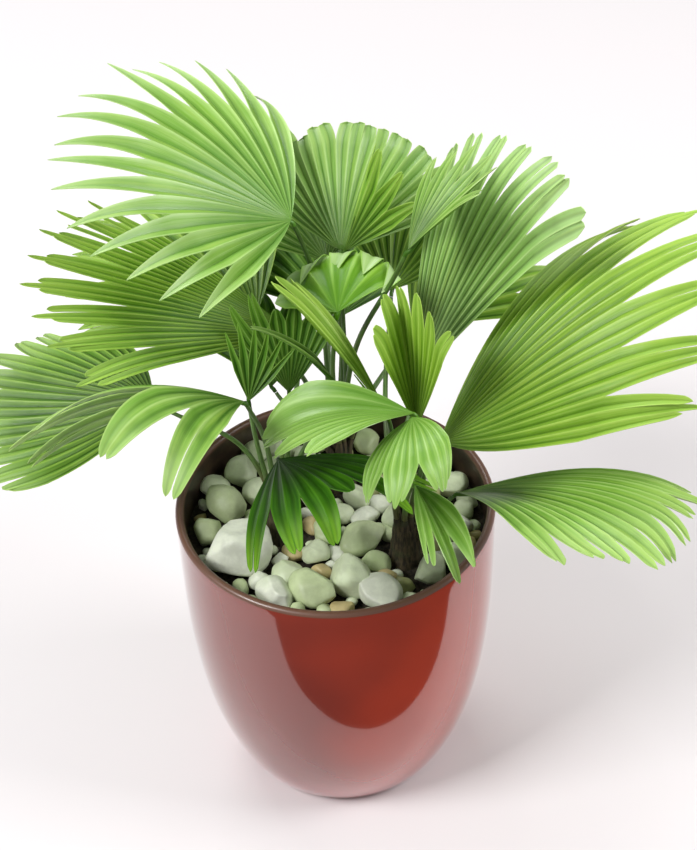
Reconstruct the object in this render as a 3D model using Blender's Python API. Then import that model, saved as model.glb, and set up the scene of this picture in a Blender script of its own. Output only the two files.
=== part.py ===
"""Chinese fan palm in a glazed pot, with pebbles over the soil.

Metres, +Z up. The origin is the middle of the pot's underside and -Y is the front.
Three short stems stand on the soil. Each frond is a petiole and a blade: a folded
fan of leaflets that are joined near the hub and part from each other further out.
"""

from collections import namedtuple
from itertools import product
from math import atan2, cos, hypot, pi, radians, sin, sqrt
from random import Random

import bmesh
import bpy
import numpy as np
from mathutils.bvhtree import BVHTree

# Driving dimensions
CLEARANCE = 0.0003  # between neighbouring solids
POT_HEIGHT = 0.280
RIM_RADIUS = 0.130
FOOT_RADIUS = 0.086
POT_WALL = 0.007
POT_FLOOR = 0.010
POT_SIDES = 36
FOOT_LEVELS = (0.0, 0.004, 0.010)  # rings round the curve in to the foot
BELLY_START = 3.44  # how late the side starts to curve in, going down
BELLY_ROUND = 1.19  # how round that curve is
SOIL_TOP = 0.246
PEBBLE_BED = 0.006
STONE_SINK = 0.002  # lowest point of a stone over the bed's underside
STONE_POINTS = 14
GOLDEN_ANGLE = pi * (3 - sqrt(5))
STEM_HEIGHT = 0.040
STEM_FOOT = 0.0145
STEM_NECK = 0.0100
STEM_CROWN = 0.0085
STEM_SIDES = 12
STEM_HOLE_GAP = 0.0006  # from a stem's foot to the pebbles round it
SHEATH_START = 0.6  # where the sheaths begin, as a share of the stem's height
SHEATH_OFFSET = 0.004  # from the stem's axis to where a sheath begins
SHEATH_STATIONS = 4
SHEATH_RADIUS = 0.0031  # a sheath carries each petiole out of the stem
SHEATH_REACH = 0.028
PETIOLE_FOOT = 0.0024
PETIOLE_TIP = 0.0017
PETIOLE_SIDES = 5
PETIOLE_STATIONS = 8
KNUCKLE = 0.006  # where the petiole runs into its blade
KNUCKLE_SINK = 0.003  # how far the knuckle goes on past the hub
BLADE_SLENDERNESS = 85  # length of a blade to its thickness
BLADE_LEAST = 0.0015  # thickness of the smallest blades
PLEAT = 0.16  # depth of a leaflet's fold to its width
EDGE_LENGTH = 0.82  # length of a fan's outermost leaflet to its middle one
RIB_STEPS = 20
UPWARD = np.array((0.0, 0.0, 1.0))
LEAFLET_MARGIN = 0.0005  # kept between a leaflet and any other solid
LEAFLET_REACHES = (1.0, 0.8, 0.6, 0.4, 0.2)  # tried in turn past the split
PETIOLE_LIFTS = (0.45, 0.55, 0.35, 0.65, 0.25)  # first rise to its span
PETIOLE_LEANS = (0.014, 0.022, 0.008)  # first step outward; lifts and leans are tried in turn

STEMS = {
    "left": (-0.045, -0.005),
    "right": (0.055, -0.038),
    "back": (0.005, 0.055),
}

# Degrees: heading runs anticlockwise from +X and pitch up from level. A frond
# spreads to the right and left of its midrib. Droop is the bend in radians from hub
# to tip, fold lifts the sides, and bow turns the outer leaflets back to the midrib.
Frond = namedtuple(
    "Frond",
    "name stem hub heading pitch roll length right left droop fold leaflets split bow",
    defaults=(0.4,),
)
FRONDS = (
    Frond("high_left", "back", (-0.025, 0.080, 0.496), 188, 36, -11, 0.201, 78, 58, 0.69, 9, 16, 0.60, 0.5),
    Frond("top", "back", (0.012, 0.105, 0.450), 72, 45, 0, 0.113, 58, 60, 0.40, 5, 10, 0.80),
    Frond("top_inner", "back", (0.015, 0.080, 0.466), 25, 73, 0, 0.095, 36, 30, 0.30, -20, 5, 0.60),
    Frond("top_right", "back", (0.061, 0.020, 0.505), 10, 50, -5, 0.098, 25, 48, 0.45, 10, 6, 0.60),
    Frond("middle", "back", (0.008, 0.012, 0.457), 65, 30, 0, 0.080, 55, 85, 1.10, 0, 7, 0.70),
    Frond("right_tall", "right", (0.069, 0.035, 0.374), -6, 66, 42, 0.227, 8, 29, 0.54, -3, 7, 0.70, 1.1),
    Frond("right_wide", "right", (0.083, -0.020, 0.354), 16, 51, -7, 0.282, 33, 17, 1.10, 1, 6, 0.64, 2.2),
    Frond("right_low", "right", (0.098, -0.030, 0.309), -56, 36, -9, 0.235, 16, 30, 0.85, 5, 9, 0.80, 1.2),
    Frond("front_left", "left", (-0.063, -0.046, 0.422), 221, 43, 25, 0.205, 36, 30, 1.17, -14, 5, 0.50),
    Frond("left_young", "left", (-0.062, -0.014, 0.396), 88, 68, 10, 0.064, 46, 20, 0.05, 0, 6, 0.50),
    Frond("front_broad", "right", (0.061, -0.062, 0.418), 177, 9, 10, 0.127, 8, 45, 1.33, 21, 4, 0.80, 1.1),
    Frond("front_right", "right", (0.059, -0.074, 0.424), 275, 26, 22, 0.096, 50, 20, 1.90, 2, 3, 0.65, 0.7),
    Frond("right_young", "right", (0.064, -0.036, 0.382), 107, 71, -18, 0.119, 18, 10, 0.66, 28, 6, 0.75, 1),
    Frond("spear", "right", (0.042, -0.046, 0.404), 186, 62, 0, 0.148, 40, 12, 0.60, 0, 3, 0.62, 0.6),
    Frond("slender", "left", (0.003, -0.020, 0.420), 178, 49, 5, 0.084, 8, 8, 0.71, 10, 1, 0.35, 0.0),
    Frond("left_low", "left", (-0.137, 0.000, 0.389), 152, -3, -5, 0.170, 40, 60, 0.05, -9, 12, 0.75, 1.0),
    Frond("left_dark", "left", (-0.029, 0.060, 0.402), 190, 28, -12, 0.225, 34, 28, 0.30, 0, 8, 0.62),
    Frond("inner_dark", "left", (-0.032, 0.012, 0.382), 100, 68, 0, 0.095, 40, 45, 0.10, 0, 7, 0.60),
    Frond("front_dark", "left", (-0.040, -0.060, 0.377), 275, 25, 10, 0.144, 22, 80, 0.84, -8, 7, 0.55),
    Frond("front_low", "right", (0.061, -0.070, 0.355), 291, 3, 3, 0.106, 21, 12, 0.96, 21, 3, 0.55),
    Frond("back_left", "back", (-0.060, 0.120, 0.380), 140, 25, 0, 0.185, 55, 55, 0.70, 0, 8, 0.60),
    Frond("back_middle", "back", (0.010, 0.140, 0.360), 95, 20, 0, 0.185, 55, 55, 0.80, 0, 8, 0.60),
    Frond("back_right", "back", (0.070, 0.120, 0.360), 50, 25, 0, 0.165, 50, 50, 0.70, 0, 7, 0.60),
    Frond("back_high", "back", (0.000, 0.150, 0.410), 110, 45, 0, 0.130, 55, 55, 0.60, 0, 7, 0.60),
    Frond("back_inner", "right", (0.052, 0.108, 0.408), 62, 48, 0, 0.120, 50, 50, 0.60, 0, 6, 0.60),
    Frond("back_low", "back", (-0.050, 0.092, 0.325), 112, 28, 0, 0.125, 50, 32, 0.80, 0, 6, 0.60),
)

# Largest stones by hand: x, y and radius. The rest are strewn between them.
LEAD_STONES = (
    (-0.079, -0.037, 0.027),
    (-0.048, -0.088, 0.017),
    (-0.019, -0.084, 0.016),
    (-0.037, -0.062, 0.012),
    (-0.016, -0.046, 0.013),
    (0.011, -0.071, 0.020),
    (0.032, -0.090, 0.018),
    (0.022, -0.022, 0.014),
    (0.080, -0.066, 0.013),
    (0.098, -0.019, 0.015),
    (-0.078, 0.068, 0.012),
    (-0.097, 0.040, 0.014),
)
STREWN_STONES = 26
STREWN_RADII = (0.009, 0.014)

GLAZE = ((0.33, 0.030, 0.018), 0.08)
SOIL = ((0.015, 0.012, 0.010), 0.95)
PEBBLE = ((0.52, 0.54, 0.43), 0.55)
STEM = ((0.060, 0.045, 0.022), 0.85)
PETIOLE = ((0.070, 0.110, 0.035), 0.5)
LEAF = ((0.110, 0.260, 0.030), 0.4)


def finish(obj, look):
    """Give an object its own Principled material."""
    colour, roughness = look
    material = bpy.data.materials.new(obj.name)
    material.use_nodes = True
    shader = material.node_tree.nodes["Principled BSDF"]
    shader.inputs["Base Color"].default_value = (*colour, 1.0)
    shader.inputs["Roughness"].default_value = roughness
    shader.inputs["Metallic"].default_value = 0.0
    obj.data.materials.clear()
    obj.data.materials.append(material)


def add_object(name, bm):
    """Turn a bmesh into an object of triangles with outward faces."""
    bmesh.ops.recalc_face_normals(bm, faces=bm.faces)
    bmesh.ops.triangulate(bm, faces=bm.faces)
    mesh = bpy.data.meshes.new(name)
    bm.to_mesh(mesh)
    bm.free()
    mesh.shade_smooth()
    mesh.set_sharp_from_angle(angle=radians(40))
    obj = bpy.data.objects.new(name, mesh)
    bpy.context.scene.collection.objects.link(obj)
    return obj


def evaluated_mesh(obj):
    """The object's mesh with its modifiers applied."""
    graph = bpy.context.evaluated_depsgraph_get()
    return bpy.data.meshes.new_from_object(obj.evaluated_get(graph))


def combine(target, others, operation):
    """Join other objects to the target, or cut them out of it, in one Boolean."""
    group = bpy.data.collections.new("operands")
    bpy.context.scene.collection.children.link(group)
    for other in others:
        bpy.context.scene.collection.objects.unlink(other)
        group.objects.link(other)
    modifier = target.modifiers.new("join", "BOOLEAN")
    modifier.operand_type = "COLLECTION"
    modifier.collection = group
    modifier.operation = operation
    modifier.solver = "EXACT"
    mesh = evaluated_mesh(target)
    target.modifiers.clear()
    target.data = mesh
    for other in others:
        bpy.data.objects.remove(other)
    bpy.data.collections.remove(group)


def turned(name, profile, sides):
    """A solid of revolution; the profile runs from the axis back to the axis."""
    bm = bmesh.new()
    rings = []
    for radius, height in profile:
        if radius == 0:
            rings.append([bm.verts.new((0, 0, height))])
            continue
        turns = [2 * pi * k / sides for k in range(sides)]
        rings.append([bm.verts.new((radius * cos(a), radius * sin(a), height)) for a in turns])
    for lower, upper in zip(rings, rings[1:]):
        for k in range(sides):
            corners = [lower[k % len(lower)], lower[(k + 1) % sides % len(lower)]]
            corners += [upper[(k + 1) % sides % len(upper)], upper[k % len(upper)]]
            bm.faces.new(list(dict.fromkeys(corners)))
    return add_object(name, bm)


def unit(vector):
    return vector / np.linalg.norm(vector, axis=-1, keepdims=True)


def tube(name, points, ahead, radii, sides):
    """A round limb through points, square to the directions, with flat ends."""
    bm = bmesh.new()
    across = unit(np.cross(ahead[0], (0.31, 0.95, 0.05)))
    rings = []
    for point, onward, radius in zip(points, ahead, radii):
        across = unit(across - onward * (across @ onward))
        other = np.cross(onward, across)
        ring = []
        for k in range(sides):
            turn = 2 * pi * k / sides
            ring.append(bm.verts.new(point + radius * (across * cos(turn) + other * sin(turn))))
        rings.append(ring)
    for lower, upper in zip(rings, rings[1:]):
        for k in range(sides):
            n = (k + 1) % sides
            bm.faces.new((lower[k], lower[n], upper[n], upper[k]))
    bm.faces.new(rings[0][::-1])
    bm.faces.new(rings[-1])
    return add_object(name, bm)


# Pot, soil and pebbles


def pot_radius(height):
    """Outer radius of the pot: straight at the rim, rounding in to the foot."""
    down = 1 - height / POT_HEIGHT
    belly = (1 - down**BELLY_START) ** (1 / BELLY_ROUND)
    return FOOT_RADIUS + (RIM_RADIUS - FOOT_RADIUS) * belly


def levels(bottom, top, count):
    return [bottom + (top - bottom) * k / count for k in range(count + 1)]


FILL_LEVELS = levels(POT_FLOOR, SOIL_TOP, 5)


def fill_radius(height):
    """Inner radius of the pot."""
    return pot_radius(height) - POT_WALL


def build_pot():
    lip = POT_WALL / 2
    side_levels = levels(2 * POT_FLOOR, POT_HEIGHT - lip, 7)
    outside = [(pot_radius(z), z) for z in (*FOOT_LEVELS, *side_levels)]
    rim = []
    for k in (1, 2, 3):
        turn = pi * k / 4
        rim.append((RIM_RADIUS - lip + lip * cos(turn), POT_HEIGHT - lip + lip * sin(turn)))
    inside = [(fill_radius(z), z) for z in (*FILL_LEVELS, POT_HEIGHT - lip)][::-1]
    profile = [(0, 0), *outside, *rim, *inside, (0, POT_FLOOR)]
    finish(turned("pot", profile, POT_SIDES), GLAZE)


def build_soil():
    side = [(fill_radius(z) - CLEARANCE, z) for z in FILL_LEVELS]
    side[0] = (side[0][0], POT_FLOOR + CLEARANCE)
    profile = [(0, side[0][1]), *side, (0, SOIL_TOP)]
    finish(turned("soil", profile, POT_SIDES), SOIL)


def stone_places():
    """Every stone as x, y and radius: the large ones, then a strewn filling."""
    rng = Random(5)
    stones = list(LEAD_STONES)
    room = fill_radius(SOIL_TOP) - STONE_SINK
    tries = 0
    while len(stones) < len(LEAD_STONES) + STREWN_STONES and tries < 4000:
        tries += 1
        radius = rng.uniform(*STREWN_RADII)
        turn = rng.uniform(0, 2 * pi)
        reach = (room - radius) * sqrt(rng.random())
        x, y = reach * cos(turn), reach * sin(turn)
        clear_of_stones = all(hypot(x - a, y - b) > 0.86 * (radius + r) for a, b, r in stones)
        keep_off = radius + STEM_FOOT + STONE_SINK
        clear_of_stems = all(hypot(x - a, y - b) > keep_off for a, b in STEMS.values())
        if clear_of_stones and clear_of_stems:
            stones.append((x, y, radius))
    return stones


def stone(rng, x, y, radius):
    """A rounded-angular stone, sunk a little into the bed."""
    bm = bmesh.new()
    flatness = rng.uniform(0.62, 0.85)
    spin = rng.uniform(0, pi)
    low = SOIL_TOP + CLEARANCE + STONE_SINK
    middle = low + radius * flatness * 0.8
    for k in range(STONE_POINTS):
        rise = 1 - (2 * k + 1) / STONE_POINTS
        turn = spin + k * GOLDEN_ANGLE
        flat = sqrt(1 - rise * rise) * radius * rng.uniform(0.86, 1.0)
        height = max(low, middle + rise * radius * flatness)
        bm.verts.new((x + flat * cos(turn), y + flat * sin(turn), height))
    hull = bmesh.ops.convex_hull(bm, input=bm.verts)
    loose = [v for v in hull["geom_interior"] if isinstance(v, bmesh.types.BMVert)]
    bmesh.ops.delete(bm, geom=loose, context="VERTS")
    return add_object("stone", bm)


def build_pebbles():
    """The layer of pebbles as one solid, open round the stems."""
    base = SOIL_TOP + CLEARANCE
    radius = fill_radius(SOIL_TOP) - 0.001
    profile = [(0, base), (radius, base), (radius, base + PEBBLE_BED), (0, base + PEBBLE_BED)]
    bed = turned("pebbles", profile, POT_SIDES)
    rng = Random(11)
    combine(bed, [stone(rng, *place) for place in stone_places()], "UNION")
    holes = []
    for x, y in STEMS.values():
        ends = np.array(((x, y, base - STEM_HEIGHT), (x, y, base + STEM_HEIGHT)))
        holes.append(tube("hole", ends, [UPWARD] * 2, [STEM_FOOT + STEM_HOLE_GAP] * 2, STEM_SIDES + 4))
    combine(bed, holes, "DIFFERENCE")
    finish(bed, PEBBLE)


# Fronds


def axes(frond):
    """Midrib, left-hand side and upper side of a fan."""
    heading, pitch, roll = (radians(a) for a in (frond.heading, frond.pitch, frond.roll))
    midrib = np.array((cos(heading) * cos(pitch), sin(heading) * cos(pitch), sin(pitch)))
    level = unit(np.cross(UPWARD, midrib))
    left = level * cos(roll) + np.cross(midrib, level) * sin(roll)
    return midrib, left, np.cross(midrib, left)


def ribs(frond, angles):
    """Curves from the hub at angles from the midrib, each bent down by its weight."""
    midrib, left, upper = axes(frond)
    angles = np.asarray(angles, float)
    share = np.abs(angles) / np.where(angles > 0, frond.left, frond.right)
    across = np.radians(angles)[:, None]
    turn = across * (1 + frond.bow / 2)
    lift = np.radians(frond.fold * share)[:, None]
    ahead = (np.cos(turn) * midrib + np.sin(turn) * left) * np.cos(lift) + upper * np.sin(lift)
    length = frond.length * (1 - (1 - EDGE_LENGTH) * share**2)
    points = np.zeros((len(angles), RIB_STEPS + 1, 3))
    points[:, 0] = frond.hub
    for step in range(RIB_STEPS):
        bend = frond.droop * (2 * step + 1) / RIB_STEPS**2
        ahead = unit(ahead + ((ahead @ UPWARD)[:, None] * ahead - UPWARD) * bend)
        ahead = unit(ahead - np.cross(upper, ahead) * across * frond.bow / RIB_STEPS)
        points[:, step + 1] = points[:, step] + ahead * (length / RIB_STEPS)[:, None]
    return points


def leaflet_angles(frond):
    """Middle angle of each leaflet, and half the angle that one takes up."""
    half = (frond.left + frond.right) / frond.leaflets / 2
    middles = [-frond.right + half * (2 * k + 1) for k in range(frond.leaflets)]
    return middles, half


def leaflet_rows(frond, middle, half, reach):
    """Rows of left edge, fold and right edge, from near the hub out to the tip."""
    split = round(frond.split * RIB_STEPS)
    free = 2 if frond.droop > 0.45 else 1
    end = split + max(1, round((RIB_STEPS - split) * reach))
    stations = [round(split / 2), split]
    stations += [split + round((end - split) * k / (free + 0.6)) for k in range(1, free + 1)]
    upper = axes(frond)[2]
    rows = []
    for station in sorted(set(stations) - {end}):
        width = 1.0
        if station > split:
            past = (station - split) / (end - split)
            width = split / station * (1 - past) ** 0.6
        spread = half * width
        edges = ribs(frond, [middle - spread, middle, middle + spread])[:, station]
        depth = PLEAT * np.linalg.norm(edges[2] - edges[0])
        edges[1] -= upper * depth * (0.5 if station < split else 1.0)
        rows.append((station, edges))
    tip = ribs(frond, [middle])[0, end]
    return rows, tip, split


def blade_mesh(frond, reaches, margin):
    """The fan as a bmesh: leaflets share their edges as far as the split."""
    middles, half = leaflet_angles(frond)
    bm = bmesh.new()
    hub = bm.verts.new(frond.hub)
    shared = {}
    for k, (middle, reach) in enumerate(zip(middles, reaches)):
        if reach == 0:
            continue
        rows, tip, split = leaflet_rows(frond, middle, half, reach)
        last = None
        for station, (right, fold, left) in rows:
            if station <= split:
                low = shared.get((station, k)) or bm.verts.new(right)
                high = bm.verts.new(left)
                shared[(station, k + 1)] = high
                row = (low, bm.verts.new(fold), high)
            else:
                row = [bm.verts.new(p) for p in (right, fold, left)]
            if last is None:
                bm.faces.new((hub, row[0], row[1]))
                bm.faces.new((hub, row[1], row[2]))
            else:
                bm.faces.new((last[0], row[0], row[1], last[1]))
                bm.faces.new((last[1], row[1], row[2], last[2]))
            last = row
        point = bm.verts.new(tip)
        bm.faces.new((last[0], point, last[1]))
        bm.faces.new((last[1], point, last[2]))
    thicken(bm, max(BLADE_LEAST, frond.length / BLADE_SLENDERNESS) + 2 * margin)
    return bm


def thicken(bm, thickness):
    """Close an open sheet into a solid, half the thickness to each side of it."""
    bm.normal_update()
    for vert in bm.verts:
        vert.co += vert.normal * thickness / 2
    bmesh.ops.solidify(bm, geom=bm.faces[:], thickness=thickness)


def petiole_end(frond, foot):
    """Direction in which a petiole runs into its blade."""
    midrib = axes(frond)[0]
    return unit(midrib * 0.4 + unit(np.array(frond.hub) - foot) * 0.9)


def petiole_curve(frond, foot, outward, lift, lean):
    """A curve from inside the stem up and over to the hub."""
    hub = np.array(frond.hub)
    into = petiole_end(frond, foot)
    end = hub - into * KNUCKLE
    span = np.linalg.norm(end - foot)
    rise = foot + UPWARD * span * lift + outward * lean
    turn = end - into * span * 0.33
    t = np.linspace(0, 1, 49)[:, None]
    return (1 - t) ** 3 * foot + 3 * (1 - t) ** 2 * t * rise + 3 * (1 - t) * t**2 * turn + t**3 * end


def curve_length(curve):
    return np.linalg.norm(np.diff(curve, axis=0), axis=1).sum()


def along(curve, places):
    """Points on a curve at distances from its start, and the curve's directions there."""
    steps = np.linalg.norm(np.diff(curve, axis=0), axis=1)
    run = np.concatenate(([0], np.cumsum(steps)))
    ahead = np.gradient(curve, run, axis=0)
    points = np.stack([np.interp(places, run, curve[:, axis]) for axis in range(3)], axis=1)
    return points, unit(np.stack([np.interp(places, run, ahead[:, axis]) for axis in range(3)], axis=1))


def surface(obj):
    """The object's surface as a search tree."""
    return BVHTree.FromPolygons([v.co for v in obj.data.vertices], [p.vertices for p in obj.data.polygons])


def touches(tree, others):
    return any(tree.overlap(other) for other in others)


# Assembly


def petiole_feet(stem):
    """Where each of a stem's petioles starts, evenly round it, and its way out."""
    x, y = STEMS[stem]
    own = [f for f in FRONDS if f.stem == stem]
    bearing = {f.name: atan2(f.hub[1] - y, f.hub[0] - x) for f in own}
    own.sort(key=lambda f: bearing[f.name])
    step = 2 * pi / len(own)
    offsets = [bearing[f.name] - k * step for k, f in enumerate(own)]
    start = atan2(sum(sin(a) for a in offsets), sum(cos(a) for a in offsets))
    feet = {}
    for k, frond in enumerate(own):
        turn = start + k * step
        outward = np.array((cos(turn), sin(turn), 0.0))
        start_height = SOIL_TOP + STEM_HEIGHT * SHEATH_START
        feet[frond.name] = np.array((x, y, start_height)) + outward * SHEATH_OFFSET, outward
    return feet


def petiole_pieces(frond, curve):
    """A petiole, and the sheath that carries it out of the stem."""
    length = curve_length(curve)
    radii = np.linspace(PETIOLE_FOOT, PETIOLE_TIP, PETIOLE_STATIONS)
    places = np.linspace(SHEATH_REACH + CLEARANCE, length, PETIOLE_STATIONS)
    petiole = tube("petiole_" + frond.name, *along(curve, places), radii, PETIOLE_SIDES)
    places = np.linspace(0.0, SHEATH_REACH, SHEATH_STATIONS)
    widths = [SHEATH_RADIUS] * SHEATH_STATIONS
    return petiole, tube("sheath", *along(curve, places), widths, PETIOLE_SIDES)


def build_petioles(feet, solids):
    """Petioles in turn, each by the first rise that clears the ones before it."""
    curves = {}
    sheaths = {name: [] for name in STEMS}
    sheath_trees = []
    petiole_trees = []
    for frond in FRONDS:
        for lift, lean in product(PETIOLE_LIFTS, PETIOLE_LEANS):
            curve = petiole_curve(frond, *feet[frond.name], lift, lean)
            petiole, sheath = petiole_pieces(frond, curve)
            clear = not touches(surface(petiole), solids + petiole_trees + sheath_trees)
            if clear and not touches(surface(sheath), petiole_trees):
                break
            bpy.data.objects.remove(petiole)
            bpy.data.objects.remove(sheath)
        else:
            raise ValueError("no clear way for the petiole of " + frond.name)
        finish(petiole, PETIOLE)
        petiole_trees.append(surface(petiole))
        sheath_trees.append(surface(sheath))
        sheaths[frond.stem].append(sheath)
        curves[frond.name] = curve
    solids += petiole_trees
    return curves, sheaths


def build_stem(name):
    """A short stem that flares to a flat cut on the soil."""
    x, y = STEMS[name]
    base = SOIL_TOP + CLEARANCE
    shares = (0.0, 0.12, 0.3, 0.55, 0.8, 1.0)
    widths = [STEM_NECK + (STEM_FOOT - STEM_NECK) * (1 - s) ** 3 for s in shares[:-1]] + [STEM_CROWN]
    points = np.array([(x, y, base + STEM_HEIGHT * s) for s in shares])
    return tube("stem_" + name, points, [UPWARD] * len(shares), widths, STEM_SIDES)


def longest_run(reaches):
    """Drop the leaflets that a skipped one cuts off from the rest of the fan."""
    runs = []
    start = 0
    for k, reach in enumerate([*reaches, 0]):
        if reach == 0:
            runs.append((k - start, start, k))
            start = k + 1
    _, first, end = max(runs)
    return [reach if first <= k < end else 0 for k, reach in enumerate(reaches)]


def leaflet_reaches(frond, solids):
    """How far each leaflet grows before it would touch another solid."""
    reaches = []
    for k in range(frond.leaflets):
        reach = 0
        for trial in LEAFLET_REACHES:
            alone = [trial if n == k else 0 for n in range(frond.leaflets)]
            bm = blade_mesh(frond, alone, LEAFLET_MARGIN)
            tree = BVHTree.FromBMesh(bm)
            bm.free()
            if not touches(tree, solids):
                reach = trial
                break
        reaches.append(reach)
    return longest_run(reaches)


def build_blade(frond, curve, solids):
    blade = add_object("blade_" + frond.name, blade_mesh(frond, leaflet_reaches(frond, solids), 0.0))
    into = unit(curve[-1] - curve[-2])
    ends = [curve[-1] + into * reach for reach in (CLEARANCE, KNUCKLE + KNUCKLE_SINK)]
    knuckle = tube("knuckle", ends, [into] * 2, [PETIOLE_TIP, PETIOLE_TIP * 0.8], PETIOLE_SIDES)
    combine(blade, [knuckle], "UNION")
    finish(blade, LEAF)
    solids.append(surface(blade))


def main():
    for obj in list(bpy.data.objects):
        bpy.data.objects.remove(obj)
    build_pot()
    build_soil()
    build_pebbles()
    solids = [surface(bpy.data.objects[n]) for n in ("pot", "soil", "pebbles")]
    stems = {name: build_stem(name) for name in STEMS}
    solids += [surface(stem) for stem in stems.values()]
    feet = {}
    for name in STEMS:
        feet.update(petiole_feet(name))
    curves, sheaths = build_petioles(feet, solids)
    for name, stem in stems.items():
        combine(stem, sheaths[name], "UNION")
        finish(stem, STEM)
        solids.append(surface(stem))
    for frond in FRONDS:
        build_blade(frond, curves[frond.name], solids)


main()
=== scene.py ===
from collections import namedtuple
from itertools import product
from math import atan2, cos, hypot, pi, radians, sin, sqrt
from random import Random

import bmesh
import bpy
import numpy as np
from mathutils import Matrix, Vector, noise
from mathutils.kdtree import KDTree


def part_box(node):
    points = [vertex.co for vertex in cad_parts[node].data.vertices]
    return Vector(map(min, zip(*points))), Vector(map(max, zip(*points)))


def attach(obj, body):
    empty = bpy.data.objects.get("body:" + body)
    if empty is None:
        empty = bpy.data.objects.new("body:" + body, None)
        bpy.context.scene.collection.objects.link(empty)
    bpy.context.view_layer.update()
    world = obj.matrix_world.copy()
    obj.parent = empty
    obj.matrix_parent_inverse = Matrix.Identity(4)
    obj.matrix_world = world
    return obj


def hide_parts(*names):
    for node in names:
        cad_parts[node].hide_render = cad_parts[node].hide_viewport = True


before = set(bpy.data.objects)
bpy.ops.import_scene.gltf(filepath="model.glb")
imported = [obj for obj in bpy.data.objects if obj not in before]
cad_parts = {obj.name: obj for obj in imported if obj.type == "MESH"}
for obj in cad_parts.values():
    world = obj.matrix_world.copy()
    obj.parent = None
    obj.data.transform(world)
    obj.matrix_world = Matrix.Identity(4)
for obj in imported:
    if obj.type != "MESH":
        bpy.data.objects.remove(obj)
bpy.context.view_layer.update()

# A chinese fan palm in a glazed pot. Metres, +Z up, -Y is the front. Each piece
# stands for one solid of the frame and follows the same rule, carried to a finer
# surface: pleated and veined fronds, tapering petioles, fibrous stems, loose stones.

# Driving dimensions, as in the frame
POT_HEIGHT = 0.280
RIM_RADIUS = 0.130
FOOT_RADIUS = 0.086
POT_WALL = 0.007
POT_FLOOR = 0.010
BELLY_START = 3.44  # how late the side starts to curve in, going down
BELLY_ROUND = 1.19  # how round that curve is
SOIL_TOP = 0.246
STEM_HEIGHT = 0.040
STEM_FOOT = 0.0145
STEM_NECK = 0.0100
SHEATH_START = 0.6  # where the sheaths begin, as a share of the stem's height
SHEATH_OFFSET = 0.004
SHEATH_REACH = 0.028
PETIOLE_FOOT = 0.0024
PETIOLE_TIP = 0.0017
PETIOLE_LIFTS = (0.45, 0.55, 0.35, 0.65, 0.25)
PETIOLE_LEANS = (0.014, 0.022, 0.008)
PETIOLE_TURN = 0.33  # length of the bend at its upper end, to its whole length
KNUCKLE = 0.006  # where the petiole runs into its blade
KNUCKLE_ALONG = 0.4  # how much the knuckle follows the blade
KNUCKLE_OUT = 0.9  # and how much the petiole
CLEARANCE = 0.0003
PLEAT = 0.16  # depth of a leaflet's fold to its width
EDGE_LENGTH = 0.82  # length of a fan's outermost leaflet to its middle one
RIB_STEPS = 20
LEAFLET_REACHES = (1.0, 0.8, 0.6, 0.4, 0.2)
UPWARD = np.array((0.0, 0.0, 1.0))

# Finer dimensions of the pot and the soil
TURNS = 128  # faces round the pot
TURNED_WELD = 1e-6  # points this near each other become one
SIDE_ROWS = 46
LIP_ROWS = 9
LIP_TURN = (0.2, 2.9)  # part of the lip's half circle that is drawn, radians
INSIDE_ROWS = 30
FOOT_PROFILE = ((0, 0), (FOOT_RADIUS - 0.004, 0), (FOOT_RADIUS - 0.0008, 0.0001))
SIDE_START = 0.0006
WAVES = 14.0  # to the metre, in the glaze
WAVE_HEIGHT = 0.00035
SMOOTH_FOOT = 0.010  # no waves below this height
SMOOTH_LIP = 0.006  # nor this near the top
INNER_SHARE = 0.55  # how deep in the wall the inner glaze starts, to its thickness
LIP_SHARE = 0.40  # height of the lip that it covers, to the same
SOIL_LEVELS = 8
SOIL_RINGS = 45
SOIL_EDGE = 0.001  # strip at the pot that stays smooth
SOIL_LUMPS = ((60.0, 0.0022), (260.0, 0.0012))  # lumps to the metre, and how high they are

# Finer dimensions of the fronds
LEAF_THICKNESS = 0.0005
LEAF_WELD = 2e-6  # points this near each other become one
COLUMNS = 6  # faces across one pleat
FUSED_ROWS = 13  # faces along it as far as the leaflets are joined
FREE_ROWS = 15  # along the free part
FUSED_CROWDING = 1.15  # how much closer the rows lie near the hub
FREE_CROWDING = 1.35  # and near the tip
FAN_ANGLES = 81  # ribs that a fan's surface is worked out from
TIP_MATCH = 0.0035  # how near its place a leaflet's tip is taken as found
STEP_BACK = 0.30  # how much shorter the side pleats of a leaflet are
STEP_CURVE = 1.5  # how late that grows towards the outermost pleat
TOOTH_TAPER = 0.7  # how bluntly each pleat ends
ROUNDING = 0.10  # how much the folds are rounded
FLATTENING = 0.45  # how much of the folds is lost at the tip
HOLLOW = 0.35  # depth of the fold over a whole leaflet, to the frame's
CURL = 0.050  # most that a tip strays from its rib, to the blade's length
LOOSENESS = 0.25  # how much of that each pleat strays by itself
STRAY_UP = (-1.0, 0.5)  # tips hang below their ribs more than they rise over them
SHORTER = 0.05  # most that a leaflet falls short
FOLD_STEPS = 12
FOLD_SPAN = 0.3  # share of the free part that goes into the fold
FOLD_STRETCH = 1.4  # length of a folded tip to that of a straight one
FOLD_SPREAD = 50  # leaflets this near the midrib fold over, degrees
FOLD_LIFT = 0.2  # how far the folded tips stand off the blade
FOLD_HINGE = 0.03  # length that gives the direction at the hinge
COSTA_REACH = 0.32  # how far the petiole runs on under the blade
COSTA_STATIONS = 12
COSTA_SWELL = 1.05  # how much thicker it is inside the knuckle
COSTA_TIP = 0.0004
COSTA_SINK = 0.10  # how deep it sits in the middle pleat, to the pleat's depth

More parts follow.
